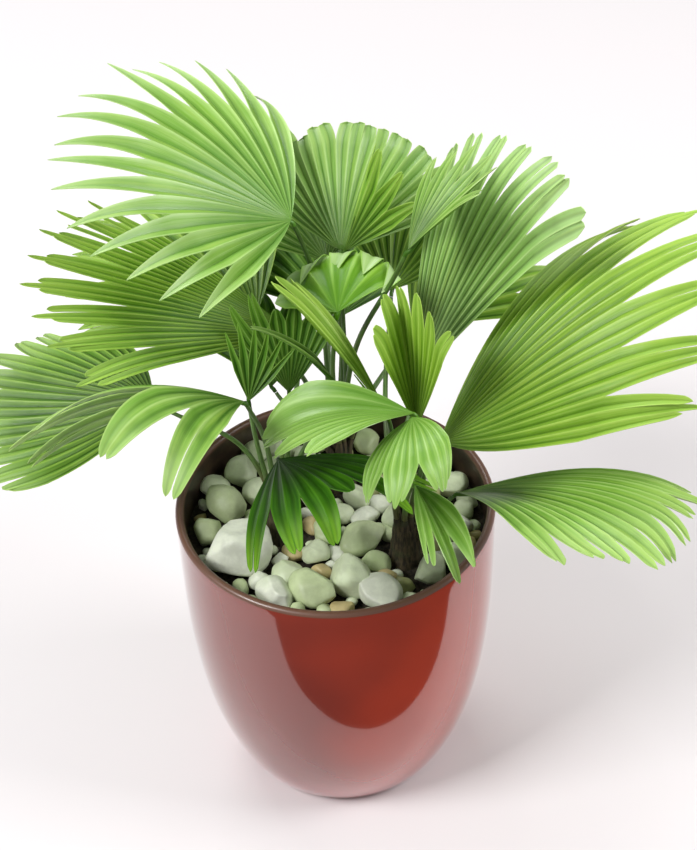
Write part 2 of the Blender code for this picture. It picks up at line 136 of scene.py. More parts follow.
# Finer dimensions of the petioles and stems
CURVE_STATIONS = 49
FIT_STATIONS = 40
PETIOLE_STATIONS = 36
PETIOLE_TAPER = 0.8
PETIOLE_FLATNESS = 0.82
PETIOLE_SIDES = 12
COSTA_SIDES = 8
STEM_STATIONS = 26
STEM_SIDES = 36
STEM_FLARE = 3  # how suddenly the foot widens
STEM_SHOULDER = 0.85  # where the stem starts to close in, to its height
STEM_CLOSING = 1.2
STEM_AXIS = 1e-4  # points this near the middle stay where they are
FIBRES = (5, 25)  # ridges to the radian round the stem, and to the metre up it
FIBRE_HEIGHT = 0.0011
RINGS = 130  # leaf scars to the metre
RING_HEIGHT = 0.0006
BASE_STATIONS = 7
BASE_LOW = (0.004, 0.002)  # start of a leaf base: height, and depth in the stem
BASE_WAIST = (STEM_HEIGHT * 0.45, 0.0025)
BASE_JOINS = 0.008  # how far along the petiole's curve the base joins it
BASE_RADII = (0.0045, 0.0046, PETIOLE_FOOT * 1.12)
BASE_PLACES = (0, 0.3, 1)  # where those are, to the base's length
BASE_FLATNESS = 0.8

STEMS = {
    "left": (-0.045, -0.005),
    "right": (0.055, -0.038),
    "back": (0.005, 0.055),
}

# Degrees: heading runs anticlockwise from +X and pitch up from level. A frond
# spreads to the right and left of its midrib. Droop is the bend in radians from hub
# to tip, fold lifts the sides, and bow turns the outer leaflets back to the midrib.
# The leaflets are joined from the hub as far as the split.
Frond = namedtuple(
    "Frond",
    "name stem hub heading pitch roll length right left droop fold leaflets split bow",
    defaults=(0.4,),
)
FRONDS = (
    Frond("high_left", "back", (-0.025, 0.080, 0.496), 188, 36, -11, 0.201, 78, 58, 0.69, 9, 16, 0.60, 0.5),
    Frond("top", "back", (0.012, 0.105, 0.450), 72, 45, 0, 0.113, 58, 60, 0.40, 5, 10, 0.80),
    Frond("top_inner", "back", (0.015, 0.080, 0.466), 25, 73, 0, 0.095, 36, 30, 0.30, -20, 5, 0.60),
    Frond("top_right", "back", (0.061, 0.020, 0.505), 10, 50, -5, 0.098, 25, 48, 0.45, 10, 6, 0.60),
    Frond("middle", "back", (0.008, 0.012, 0.457), 65, 30, 0, 0.080, 55, 85, 1.10, 0, 7, 0.70),
    Frond("right_tall", "right", (0.069, 0.035, 0.374), -6, 66, 42, 0.227, 8, 29, 0.54, -3, 7, 0.70, 1.1),
    Frond("right_wide", "right", (0.083, -0.020, 0.354), 16, 51, -7, 0.282, 33, 17, 1.10, 1, 6, 0.64, 2.2),
    Frond("right_low", "right", (0.098, -0.030, 0.309), -56, 36, -9, 0.235, 16, 30, 0.85, 5, 9, 0.80, 1.2),
    Frond("front_left", "left", (-0.063, -0.046, 0.422), 221, 43, 25, 0.205, 36, 30, 1.17, -14, 5, 0.50),
    Frond("left_young", "left", (-0.062, -0.014, 0.396), 88, 68, 10, 0.064, 46, 20, 0.05, 0, 6, 0.50),
    Frond("front_broad", "right", (0.061, -0.062, 0.418), 177, 9, 10, 0.127, 8, 45, 1.33, 21, 4, 0.80, 1.1),
    Frond("front_right", "right", (0.059, -0.074, 0.424), 275, 26, 22, 0.096, 50, 20, 1.90, 2, 3, 0.65, 0.7),
    Frond("right_young", "right", (0.064, -0.036, 0.382), 107, 71, -18, 0.119, 18, 10, 0.66, 28, 6, 0.75, 1),
    Frond("spear", "right", (0.042, -0.046, 0.404), 186, 62, 0, 0.148, 40, 12, 0.60, 0, 3, 0.62, 0.6),
    Frond("slender", "left", (0.003, -0.020, 0.420), 178, 49, 5, 0.084, 8, 8, 0.71, 10, 1, 0.35, 0.0),
    Frond("left_low", "left", (-0.137, 0.000, 0.389), 152, -3, -5, 0.170, 40, 60, 0.05, -9, 12, 0.75, 1.0),
    Frond("left_dark", "left", (-0.029, 0.060, 0.402), 190, 28, -12, 0.225, 34, 28, 0.30, 0, 8, 0.62),
    Frond("inner_dark", "left", (-0.032, 0.012, 0.382), 100, 68, 0, 0.095, 40, 45, 0.10, 0, 7, 0.60),
    Frond("front_dark", "left", (-0.040, -0.060, 0.377), 275, 25, 10, 0.144, 22, 80, 0.84, -8, 7, 0.55),
    Frond("front_low", "right", (0.061, -0.070, 0.355), 291, 3, 3, 0.106, 21, 12, 0.96, 21, 3, 0.55),
    Frond("back_left", "back", (-0.060, 0.120, 0.380), 140, 25, 0, 0.185, 55, 55, 0.70, 0, 8, 0.60),
    Frond("back_middle", "back", (0.010, 0.140, 0.360), 95, 20, 0, 0.185, 55, 55, 0.80, 0, 8, 0.60),
    Frond("back_right", "back", (0.070, 0.120, 0.360), 50, 25, 0, 0.165, 50, 50, 0.70, 0, 7, 0.60),
    Frond("back_high", "back", (0.000, 0.150, 0.410), 110, 45, 0, 0.130, 55, 55, 0.60, 0, 7, 0.60),
    Frond("back_inner", "right", (0.052, 0.108, 0.408), 62, 48, 0, 0.120, 50, 50, 0.60, 0, 6, 0.60),
    Frond("back_low", "back", (-0.050, 0.092, 0.325), 112, 28, 0, 0.125, 50, 32, 0.80, 0, 6, 0.60),
)

# How each frond is finished: its green, the fine pleats in each of its leaflets and how
# deep they are to their width, how bluntly leaflets end (1 tapers evenly, 0 is cut
# square), the free point of each pleat to its leaflet's free length, how far the tips
# hang, how wide the gaps between the leaflets open (0 keeps the fan closed), and whether
# the tips fold back over the blade.
Look = namedtuple(
    "Look",
    "green pleats relief taper tooth sag gape over",
    defaults=(0.30, 0.60, 0.16, 0.0, 1.0, False),
)
LOOKS = {
    "high_left": Look("pale", 1, 0.30, 0.75),
    "top": Look("hazy", 2, 0.34, 0.07, 0.06, gape=0.15),
    "top_inner": Look("inner", 2, 0.38, 0.55, 0.08),
    "top_right": Look("fresh", 2, 0.34, 0.55),
    "middle": Look("folded", 1, 0.20, 0.90, gape=0.2, over=True),
    "right_tall": Look("two_tone", 2, 0.32, 0.22, 0.06, gape=0.35),
    "right_wide": Look("bright", 3, 0.36, 0.40, 0.08, gape=0.8),
    "right_low": Look("fresh", 2, 0.40, 0.25, 0.14, gape=0.7),
    "front_left": Look("fresh", 2, 0.14, 0.70, 0.04, 0.05, 0.3),
    "left_young": Look("deep", 1),
    "front_broad": Look("smooth", 3, 0.12, 0.50, 0.05),
    "front_right": Look("smooth", 4, 0.14, 0.55, 0.04, gape=0.4),
    "right_young": Look("bright", 2, 0.34, 0.45, 0.08, gape=0.3),
    "spear": Look("bright", 2, 0.34, 0.45, 0.10, gape=0),
    "slender": Look("fresh", 2, 0.30, 0.80, 0.05),
    "left_low": Look("low", 2, 0.34, 0.30, 0.06, gape=0.4),
    "left_dark": Look("mid", 3, 0.26, 0.32, 0.04, gape=0.2),
    "inner_dark": Look("deep", 2),
    "front_dark": Look("shade", 2, 0.20, 0.60, 0.05, gape=0.4),
    "front_low": Look("smooth", 2, 0.18, 0.60, 0.05, gape=0.2),
    "back_left": Look("mid", 2),
    "back_middle": Look("deep", 2),
    "back_right": Look("mid", 2),
    "back_high": Look("fresh", 2),
    "back_inner": Look("mid", 2),
    "back_low": Look("deep", 2),
}

# Green between the veins, along the veins (also a painted highlight on the fold ridges), in the heart of the
# fan (partly deeper green, partly painted shade, also painted into the fold valleys) and at its tips, how
# much the leaf shines, and how far out the heart's green fades
Green = namedtuple("Green", "between vein heart tip shine core", defaults=(0.60,))
GREENS = {
    "pale": Green(
        (0.22, 0.452, 0.046), (0.53, 0.74, 0.275), (0.09, 0.27, 0.014), (0.46, 0.65, 0.29), 0.7
    ),
    "smooth": Green(
        (0.18, 0.385, 0.04), (0.42, 0.64, 0.2), (0.11, 0.28, 0.018), (0.34, 0.57, 0.13), 0.5
    ),
    "fresh": Green(
        (0.16, 0.375, 0.032), (0.46, 0.66, 0.2), (0.03, 0.12, 0.005), (0.41, 0.62, 0.18), 0.4
    ),
    "hazy": Green(
        (0.16, 0.36, 0.036), (0.47, 0.68, 0.22), (0.07, 0.21, 0.008), (0.28, 0.47, 0.15), 0.6
    ),
    "inner": Green(
        (0.13, 0.33, 0.016), (0.46, 0.68, 0.14), (0.014, 0.08, 0.003), (0.34, 0.56, 0.08), 0.3
    ),
    "bright": Green(
        (0.185, 0.38, 0.014), (0.48, 0.68, 0.14), (0.055, 0.165, 0.003), (0.37, 0.6, 0.1), 0.3
    ),
    "folded": Green(
        (0.115, 0.295, 0.009), (0.29, 0.54, 0.06), (0.08, 0.24, 0.005), (0.58, 0.74, 0.4), 0.35
    ),
    "mid": Green(
        (0.14, 0.355, 0.011), (0.44, 0.64, 0.115), (0.02, 0.092, 0.002), (0.38, 0.6, 0.1), 0.35, 0.85
    ),
    "deep": Green(
        (0.055, 0.2, 0.006), (0.3, 0.52, 0.095), (0.014, 0.072, 0.002), (0.2, 0.43, 0.04), 0.2, 0.8
    ),
    "low": Green(
        (0.09, 0.25, 0.008), (0.35, 0.56, 0.1), (0.01, 0.058, 0.002), (0.5, 0.7, 0.27), 0.3, 0.85
    ),
    "two_tone": Green(
        (0.255, 0.55, 0.08), (0.6, 0.83, 0.34), (0.008, 0.05, 0.004), (0.58, 0.81, 0.37), 0.5, 0.75
    ),
    "shade": Green(
        (0.026, 0.115, 0.005), (0.085, 0.25, 0.014), (0.012, 0.05, 0.003), (0.29, 0.56, 0.035), 0.15
    ),
}

# Stones that show most, one by one: x, y, radius and colour. The rest are strewn between.
LEAD_STONES = (
    (-0.079, -0.039, 0.0320, 1),
    (-0.048, -0.084, 0.0180, 1),
    (-0.038, -0.059, 0.0160, 0),
    (-0.019, -0.080, 0.0190, 2),
    (-0.018, -0.037, 0.0135, 0),
    (0.011, -0.068, 0.0210, 0),
    (0.031, -0.087, 0.0195, 1),
    (0.051, -0.074, 0.0105, 4),
    (0.031, -0.050, 0.0130, 2),
    (0.020, -0.024, 0.0205, 2),
    (-0.008, -0.014, 0.0140, 2),
    (0.003, 0.009, 0.0115, 0),
    (-0.034, -0.033, 0.0100, 3),
    (-0.020, -0.003, 0.0105, 3),
    (0.074, -0.062, 0.0160, 0),
    (0.096, -0.014, 0.0160, 1),
    (0.096, -0.046, 0.0140, 0),
    (-0.090, 0.020, 0.0215, 2),
    (-0.106, -0.008, 0.0145, 2),
    (-0.078, 0.062, 0.0170, 0),
    (-0.069, 0.088, 0.0140, 0),
    (-0.102, 0.048, 0.0130, 0),
    (0.003, -0.098, 0.0100, 3),
    (-0.065, 0.036, 0.0160, 0),
)

# Most stones strewn of a size, smallest and largest radius, and spacing (1 just touch)
STREWN_STONES = (
    (36, 0.0120, 0.0170, 0.86),
    (60, 0.0085, 0.0120, 0.72),
    (70, 0.0050, 0.0080, 0.74),
)
STREWING_SEED = 5
MOST_TRIES = 4000
STONE_MARGIN = 0.002  # room kept at the pot and round the stems
SHAPING_SEED = 11
STONE_DETAIL = ((0.0155, 4), (0.0070, 3), (0.0, 2))  # least radius, and rounds of splitting
STONE_FLATS = 9
FLAT_DEPTHS = (0.62, 0.85)  # from the middle, to the radius
FLATNESS = 0.88  # how much of what stands over a flat side is taken off
STONE_STRETCH = ((0.95, 1.15), (0.80, 0.95), (0.62, 0.85))  # length, width and height
STONE_LUMPS = ((1.7, 0.05), (7.0, 0.012))  # lumps to the radius, and how high they are
STONE_VARIETY = 50  # how far apart the lumps of two stones are read
STONE_LEAN = 0.35  # radians, either way
STONE_LIFT = 0.001
STONE_SETTLED = 0.80  # how high its middle lies, to half its height
STONE_COLOURS = (
    (0.640, 0.710, 0.490),
    (0.740, 0.770, 0.640),
    (0.500, 0.580, 0.330),
    (0.520, 0.420, 0.200),
    (0.360, 0.370, 0.160),
)
STONE_SHARES = (5, 4, 3, 1, 1)  # of each colour among the strewn ones


def unit(vector):
    return vector / np.maximum(np.linalg.norm(vector, axis=-1, keepdims=True), 1e-12)


# Materials


class Nodes:
    """A material's node tree, with short calls for the nodes that repeat."""

    def __init__(self, name):
        self.material = bpy.data.materials.new(name)
        self.material.use_nodes = True
        self.tree = self.material.node_tree
        self.shader = self.tree.nodes["Principled BSDF"]

    def node(self, kind, **values):
        made = self.tree.nodes.new("ShaderNode" + kind)
        for key, value in values.items():
            setattr(made, key, value)
        return made

    def link(self, source, target):
        self.tree.links.new(source, target)

    def fill(self, socket, value):
        """Link or set a socket."""
        if hasattr(value, "links"):
            self.link(value, socket)
        else:
            socket.default_value = value

    def math(self, operation, first, second=0.0, third=0.0):
        made = self.node("Math", operation=operation)
        for socket, value in zip(made.inputs, (first, second, third)):
            self.fill(socket, value)
        return made.outputs[0]

    def times(self, first, second):
        return self.math("MULTIPLY", first, second)

    def range(self, value, low, high, to_low=0.0, to_high=1.0):
        """A smooth step of a value from one range to another."""
        made = self.node("MapRange", interpolation_type="SMOOTHSTEP")
        for socket, number in zip(made.inputs, (value, low, high, to_low, to_high)):
            self.fill(socket, number)
        return made.outputs[0]

    def mix(self, share, first, second):
        made = self.node("Mix", data_type="RGBA")
        self.fill(made.inputs[0], share)
        for socket, colour in zip(made.inputs[6:8], (first, second)):
            self.fill(socket, (*colour, 1.0) if isinstance(colour, tuple) else colour)
        return made.outputs[2]

    def noise(self, vector, scale, detail=3.0, roughness=0.5):
        made = self.node("TexNoise")
        self.link(vector, made.inputs["Vector"])
        made.inputs["Scale"].default_value = scale
        made.inputs["Detail"].default_value = detail
        made.inputs["Roughness"].default_value = roughness
        return made.outputs[0]

    def bump(self, height, strength, distance):
        made = self.node("Bump")
        made.inputs["Strength"].default_value = strength
        made.inputs["Distance"].default_value = distance
        self.link(height, made.inputs["Height"])
        self.link(made.outputs[0], self.shader.inputs["Normal"])

    def place(self):
        """The place on the object, in metres."""
        return self.node("TexCoord").outputs["Object"]

    def parts(self, vector):
        split = self.node("SeparateXYZ")
        self.link(vector, split.inputs[0])
        return split.outputs

    def uv(self):
        """The two numbers of the piece's own map."""
        return self.parts(self.node("UVMap", uv_map="along").outputs[0])[:2]

    def vector(self, x, y):
        made = self.node("CombineXYZ")
        for socket, value in zip(made.inputs, (x, y)):
            self.fill(socket, value)
        return made.outputs[0]

    def gloss(self, roughness, specular=0.5, coat=0.0, coat_roughness=0.03):
        self.fill(self.shader.inputs["Roughness"], roughness)
        self.shader.inputs["Specular IOR Level"].default_value = specular
        self.shader.inputs["Coat Weight"].default_value = coat
        self.shader.inputs["Coat Roughness"].default_value = coat_roughness


LIGHT_THROUGH = 0.25  # share of the light that a leaf lets through


def scaled(colour, shares):
    return tuple(part * share for part, share in zip(colour, shares))


def leaf_material(tone):
    """Pleated leaf: fine veins, pale lines on the fold ridges that are partly pale ribs and partly painted
    highlight, a heart that is partly deeper green and partly painted shade, painted shade in the fold
    valleys, and some light through it.
    """
    green = GREENS[tone]
    vein, heart = green.vein, green.heart
    n = Nodes("leaf_" + tone)
    across, along = n.uv()
    place = n.place()
    fine = n.noise(n.vector(n.times(across, 9.0), n.times(along, 1.2)), 2.2, 4.0, 0.65)
    strip = n.noise(n.vector(n.times(across, 2.3), along), 1.5, 2.0)
    cloud = n.noise(place, 20.0, 3.0)
    yellow = scaled(vein, (1.05, 0.98, 0.60))
    # darker towards the hub: partly the leaf's own deeper green, partly painted shade where the fronds crowd
    colour = n.mix(n.range(along, green.core, 0.14, 0.0, 0.90), green.between, heart)
    colour = n.mix(n.range(along, 0.60, 1.0, 0.0, 0.80), colour, green.tip)
    colour = n.mix(n.range(fine, 0.38, 0.68, 0.0, 0.35), colour, vein)
    colour = n.mix(n.range(strip, 0.42, 0.72, 0.0, 0.30), colour, yellow)
    colour = n.mix(n.range(cloud, 0.45, 0.70, 0.0, 0.35), colour, heart)
    fold = n.math("ABSOLUTE", n.math("SUBTRACT", n.math("FRACT", across), 0.5))
    # pale line on each fold's ridge: partly the leaf's pale rib, partly a painted highlight where light
    # catches the ridges
    rib_and_painted_highlight = n.times(n.range(fold, 0.34, 0.50, 0.0, 0.75), n.range(along, 0.10, 0.60, 0.35, 1.0))
    colour = n.mix(rib_and_painted_highlight, colour, vein)
    # painted shade in the bottom of each fold, strongest near the hub
    painted_valley_shade = n.times(n.range(fold, 0.24, 0.0, 0.0, 0.85), n.range(along, 0.35, 0.85, 1.0, 0.35))
    colour = n.mix(painted_valley_shade, colour, heart)
    n.link(colour, n.shader.inputs["Base Color"])
    n.gloss(n.range(fine, 0.2, 0.8, 0.26, 0.42), specular=green.shine)
    n.bump(fine, 0.35, 0.0006)
    through = n.node("BsdfTranslucent")
    n.link(n.mix(0.5, colour, yellow), through.inputs["Color"])
    both = n.node("MixShader")
    both.inputs[0].default_value = LIGHT_THROUGH
    n.link(n.shader.outputs[0], both.inputs[1])
    n.link(through.outputs[0], both.inputs[2])
    n.link(both.outputs[0], n.tree.nodes["Material Output"].inputs["Surface"])
    return n.material


def petiole_material():
    """Streaked green, browner towards the foot."""
    n = Nodes("petiole_green")
    across, along = n.uv()
    place = n.place()
    streaks = n.noise(n.vector(n.times(across, 6.0), n.times(along, 3.0)), 3.0, 4.0)
    colour = n.mix(n.range(streaks, 0.35, 0.65), (0.046, 0.105, 0.016), (0.100, 0.200, 0.034))
    brown = n.range(n.noise(place, 60.0), 0.5, 0.75, 0.0, 0.5)
    colour = n.mix(brown, colour, (0.060, 0.052, 0.024))
    colour = n.mix(n.range(along, 0.30, 0.0, 0.0, 0.75), colour, (0.080, 0.055, 0.022))
    n.link(colour, n.shader.inputs["Base Color"])
    n.gloss(0.42)
    n.bump(streaks, 0.4, 0.0004)
    return n.material


def stem_material():
    """Brown fibres along the stem, with a trace of moss."""
    n = Nodes("stem_fibre")
    place = n.place()
    stretch = n.node("Mapping")
    stretch.inputs["Scale"].default_value = (1.0, 1.0, 0.16)
    n.link(place, stretch.inputs["Vector"])
    strands = n.noise(stretch.outputs[0], 420.0, 5.0, 0.6)
    patches = n.noise(place, 70.0, 3.0)
    colour = n.mix(n.range(strands, 0.35, 0.68), (0.016, 0.012, 0.006), (0.095, 0.070, 0.034))
    colour = n.mix(n.range(patches, 0.45, 0.7, 0.0, 0.6), colour, (0.040, 0.052, 0.018))
    n.link(colour, n.shader.inputs["Base Color"])
    n.gloss(0.78)
    n.bump(strands, 0.8, 0.0008)
    return n.material


def glaze_material():
    """Red glaze that breaks to brown where it thins over the rim, with painted light: brighter red towards
    +X and towards the foot.
    """
    n = Nodes("red_glaze")
    place = n.place()
    x, _, z = n.parts(place)
    clouds = n.range(n.noise(place, 7.0, 2.0), 0.0, 1.0, 0.25, 0.75)
    # random clouds in the glaze plus painted light: brighter red towards +X, the lit side
    clouds_and_painted_light = n.math("MULTIPLY_ADD", x, 2.8, clouds)
    height = n.math("ADD", z, n.times(n.noise(place, 55.0), 0.0016))
    colour = n.mix(n.range(clouds_and_painted_light, 0.30, 0.70), (0.175, 0.030, 0.021), (0.370, 0.044, 0.022))
    # painted light: brighter red towards the foot
    colour = n.mix(n.range(height, 0.060, 0.0, 0.0, 0.8), colour, (0.400, 0.020, 0.024))
    speck = n.noise(place, 900.0, 2.0)
    colour = n.mix(n.range(speck, 0.70, 0.78, 0.0, 0.35), colour, (0.090, 0.012, 0.010))
    rim = n.range(height, POT_HEIGHT - 0.0035, POT_HEIGHT - 0.0010)
    colour = n.mix(rim, colour, (0.135, 0.062, 0.038))
    n.link(colour, n.shader.inputs["Base Color"])
    n.gloss(0.10, coat=1.0)
    n.shader.inputs["IOR"].default_value = 1.38
    n.shader.inputs["Coat IOR"].default_value = 1.45
    n.bump(n.noise(place, 38.0, 2.0), 0.12, 0.0010)
    return n.material


def inner_glaze_material():
    """Dark brown glaze, warmer on the lip."""
    n = Nodes("brown_glaze")
    place = n.place()
    cloud = n.noise(place, 45.0, 4.0)
    colour = n.mix(n.range(cloud, 0.35, 0.7), (0.030, 0.020, 0.014), (0.080, 0.052, 0.030))
    lip = n.range(n.parts(place)[2], POT_HEIGHT - 0.0060, POT_HEIGHT - 0.0020)
    colour = n.mix(lip, colour, (0.125, 0.056, 0.034))
    n.link(colour, n.shader.inputs["Base Color"])
    n.gloss(0.42, coat=0.25, coat_roughness=0.08)
    n.bump(cloud, 0.2, 0.0010)
    return n.material


def soil_material():
    """Dark crumbs."""
    n = Nodes("potting_soil")
    place = n.place()
    grains = n.noise(place, 260.0, 5.0, 0.7)
    lumps = n.noise(place, 45.0, 3.0)
    colour = n.mix(n.range(grains, 0.35, 0.7), (0.014, 0.011, 0.007), (0.070, 0.054, 0.034))
    colour = n.mix(n.range(lumps, 0.5, 0.75, 0.0, 0.5), colour, (0.012, 0.018, 0.010))
    n.link(colour, n.shader.inputs["Base Color"])
    n.gloss(0.9)
    n.bump(grains, 1.0, 0.0020)
    return n.material


def stone_material(index):
    """Pale stone with faint clouds and a green cast in places."""
    n = Nodes(f"stone_{index + 1}")
    base = STONE_COLOURS[index]
    place = n.place()
    cloud = n.noise(place, 70.0, 4.0, 0.6)
    grain = n.noise(place, 700.0, 3.0)
    colour = n.mix(n.range(cloud, 0.35, 0.7), scaled(base, (0.78, 0.78, 0.78)), base)
    green = scaled(base, (0.72, 0.80, 0.62))
    colour = n.mix(n.range(n.noise(place, 28.0), 0.5, 0.8, 0.0, 0.6), colour, green)
    n.link(colour, n.shader.inputs["Base Color"])
    n.gloss(n.range(cloud, 0.3, 0.7, 0.38, 0.55))
    n.shader.inputs["Subsurface Weight"].default_value = 0.15
    n.shader.inputs["Subsurface Radius"].default_value = (0.004, 0.004, 0.003)
    n.bump(grain, 0.25, 0.0004)
    return n.material


# Pieces

SHARP_ANGLE = radians(52)


def piece(name, bm, materials, node):
    """Turn a bmesh into a piece that stands for a node of the frame."""
    mesh = bpy.data.meshes.new(name)
    bm.to_mesh(mesh)
    bm.free()
    for material in materials:
        mesh.materials.append(material)
    mesh.shade_smooth()
    mesh.set_sharp_from_angle(angle=SHARP_ANGLE)
    made = bpy.data.objects.new(name, mesh)
    bpy.context.scene.collection.objects.link(made)
    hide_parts(node)
    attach(made, "root")


def write_map(bm, layers):
    """Copy two numbers kept on the points into the map that the material reads."""
    uv = bm.loops.layers.uv.new("along")
    first, second = layers
    for face in bm.faces:
        for loop in face.loops:
            loop[uv].uv = (loop.vert[first], loop.vert[second])


def pot_radius(height):
    down = 1 - height / POT_HEIGHT
    belly = (1 - down**BELLY_START) ** (1 / BELLY_ROUND)
    return FOOT_RADIUS + (RIM_RADIUS - FOOT_RADIUS) * belly


def fill_radius(height):
    return pot_radius(height) - POT_WALL


def turned(profile):
    """A bmesh of a profile spun round the axis; it starts and ends on the axis."""
    bm = bmesh.new()
    points = [bm.verts.new((radius, 0, height)) for radius, height in profile]
    edges = [bm.edges.new(pair) for pair in zip(points, points[1:])]
    bmesh.ops.spin(
        bm, geom=points + edges, axis=(0, 0, 1), angle=2 * pi, steps=TURNS, use_merge=True
    )
    bmesh.ops.remove_doubles(bm, verts=bm.verts, dist=TURNED_WELD)
    bmesh.ops.recalc_face_normals(bm, faces=bm.faces)
    return bm


def make_pot():
    """The pot: foot, side, rounded lip, inside and floor. The glaze is a little uneven."""
    lip = POT_WALL / 2
    top = POT_HEIGHT - lip
    side = [(pot_radius(z), z) for z in np.linspace(SIDE_START, top, SIDE_ROWS)]
    turns = np.linspace(*LIP_TURN, LIP_ROWS)
    rim = [(RIM_RADIUS - lip + lip * cos(turn), top + lip * sin(turn)) for turn in turns]
    inside = [(fill_radius(z), z) for z in np.linspace(top, POT_FLOOR, INSIDE_ROWS)]
    bm = turned([*FOOT_PROFILE, *side, *rim, *inside, (0, POT_FLOOR)])
    for vert in bm.verts:
        if SMOOTH_FOOT < vert.co.z < POT_HEIGHT - SMOOTH_LIP:
            wave = noise.noise(vert.co * WAVES) * WAVE_HEIGHT
            vert.co += Vector((vert.co.x, vert.co.y, 0)).normalized() * wave
    for face in bm.faces:
        middle = face.calc_center_median()
        wall = pot_radius(max(middle.z, 0)) - POT_WALL * INNER_SHARE
        within = hypot(middle.x, middle.y) < wall and middle.z > POT_FLOOR / 2
        on_lip = middle.z > POT_HEIGHT - POT_WALL * LIP_SHARE
        face.material_index = 1 if on_lip or within else 0
    piece("glazed_pot", bm, [glaze_material(), inner_glaze_material()], "pot")


def make_soil():
    """The soil: smooth against the pot, crumbly on top."""
    levels = np.linspace(POT_FLOOR + CLEARANCE, SOIL_TOP, SOIL_LEVELS)
    side = [(fill_radius(z) - CLEARANCE, z) for z in levels]
    edge = side[-1][0]
    top = [(radius, SOIL_TOP) for radius in np.linspace(edge, 0.0, SOIL_RINGS)[1:]]
    bm = turned([(0, levels[0]), *side, *top])
    for vert in bm.verts:
        on_top = vert.co.z > SOIL_TOP - SOIL_EDGE
        if on_top and hypot(vert.co.x, vert.co.y) < edge - SOIL_EDGE:
            vert.co.z += sum(noise.noise(vert.co * scale) * height for scale, height in SOIL_LUMPS)
    piece("potting_soil", bm, [soil_material()], "soil")


def strewn(rng, stones, number, low, high, spacing):
    """Add stones to a list wherever there is room for them between the others."""
    room = fill_radius(SOIL_TOP) - STONE_MARGIN
    total = len(stones) + number
    tries = 0
    while len(stones) < total and tries < MOST_TRIES:
        tries += 1
        radius = rng.uniform(low, high)
        turn = rng.uniform(0, 2 * pi)
        reach = (room - radius) * sqrt(rng.random())
        x, y = reach * cos(turn), reach * sin(turn)
        clear_of_stones = all(hypot(x - a, y - b) > spacing * (radius + r) for a, b, r, _ in stones)
        keep_off = radius + STEM_FOOT + STONE_MARGIN
        clear_of_stems = all(hypot(x - a, y - b) > keep_off for a, b in STEMS.values())
        if clear_of_stones and clear_of_stems:
            colour = rng.choices(range(len(STONE_COLOURS)), STONE_SHARES)[0]
            stones.append((x, y, radius, colour))


def stone_places():
    """Every stone as x, y, radius and colour: those listed, then the strewn ones."""
    rng = Random(STREWING_SEED)
    stones = list(LEAD_STONES)
    for size in STREWN_STONES:
        strewn(rng, stones, *size)
    return stones


def add_stone(bm, rng, x, y, radius, colour):
    """A tumbled stone: a ball with flattened sides and soft edges."""
    fine = next(fine for least, fine in STONE_DETAIL if radius > least)
    made = bmesh.ops.create_icosphere(bm, subdivisions=fine, radius=1.0)["verts"]
    sides = []
    for _ in range(STONE_FLATS):
        side = Vector([rng.gauss(0, 1) for _ in range(3)]).normalized()
        sides.append((side, rng.uniform(*FLAT_DEPTHS)))
    shift = Vector([rng.uniform(-STONE_VARIETY, STONE_VARIETY) for _ in range(3)])
    stretch = Vector([rng.uniform(*span) for span in STONE_STRETCH])
    for vert in made:
        point = vert.co.copy()
        for side, depth in sides:
            over = point.dot(side) - depth
            if over > 0:
                point -= side * over * FLATNESS
        lumps = (height * noise.noise(vert.co * scale + shift) for scale, height in STONE_LUMPS)
        point *= sum(lumps, 1.0)
        vert.co = [point[k] * stretch[k] for k in range(3)]
    height = SOIL_TOP + STONE_LIFT + radius * stretch.z * STONE_SETTLED
    spin = Matrix.Rotation(rng.uniform(0, 2 * pi), 4, "Z")
    lean = Matrix.Rotation(rng.uniform(-STONE_LEAN, STONE_LEAN), 4, "X")
    place = Matrix.Translation((x, y, height)) @ spin @ lean @ Matrix.Scale(radius, 4)
    bmesh.ops.transform(bm, verts=made, matrix=place)
    for face in {face for vert in made for face in vert.link_faces}:
        face.material_index = colour


def make_stones():
    rng = Random(SHAPING_SEED)
    bm = bmesh.new()
    for stone in stone_places():
        add_stone(bm, rng, *stone)
    materials = [stone_material(k) for k in range(len(STONE_COLOURS))]
    piece("dressing_stones", bm, materials, "pebbles")


# Fronds, by the rule of the frame's solids


def axes(frond):
    """Midrib, left-hand side and upper side of a fan."""
    heading, pitch, roll = (radians(a) for a in (frond.heading, frond.pitch, frond.roll))
    midrib = np.array((cos(heading) * cos(pitch), sin(heading) * cos(pitch), sin(pitch)))
    level = unit(np.cross(UPWARD, midrib))
    left = level * cos(roll) + np.cross(midrib, level) * sin(roll)
    return midrib, left, np.cross(midrib, left)


def ribs(frond, angles):
    """Curves from the hub at angles from the midrib, each bent down by its weight."""
    midrib, left, upper = axes(frond)
    angles = np.asarray(angles, float)
    share = np.abs(angles) / np.where(angles > 0, frond.left, frond.right)
    across = np.radians(angles)[:, None]
    turn = across * (1 + frond.bow / 2)
    lift = np.radians(frond.fold * share)[:, None]
    ahead = (np.cos(turn) * midrib + np.sin(turn) * left) * np.cos(lift) + upper * np.sin(lift)
    length = frond.length * (1 - (1 - EDGE_LENGTH) * share**2)
    points = np.zeros((len(angles), RIB_STEPS + 1, 3))
    points[:, 0] = frond.hub
    for step in range(RIB_STEPS):
        bend = frond.droop * (2 * step + 1) / RIB_STEPS**2
        ahead = unit(ahead + ((ahead @ UPWARD)[:, None] * ahead - UPWARD) * bend)
        ahead = unit(ahead - np.cross(upper, ahead) * across * frond.bow / RIB_STEPS)
        points[:, step + 1] = points[:, step] + ahead * (length / RIB_STEPS)[:, None]
    return points


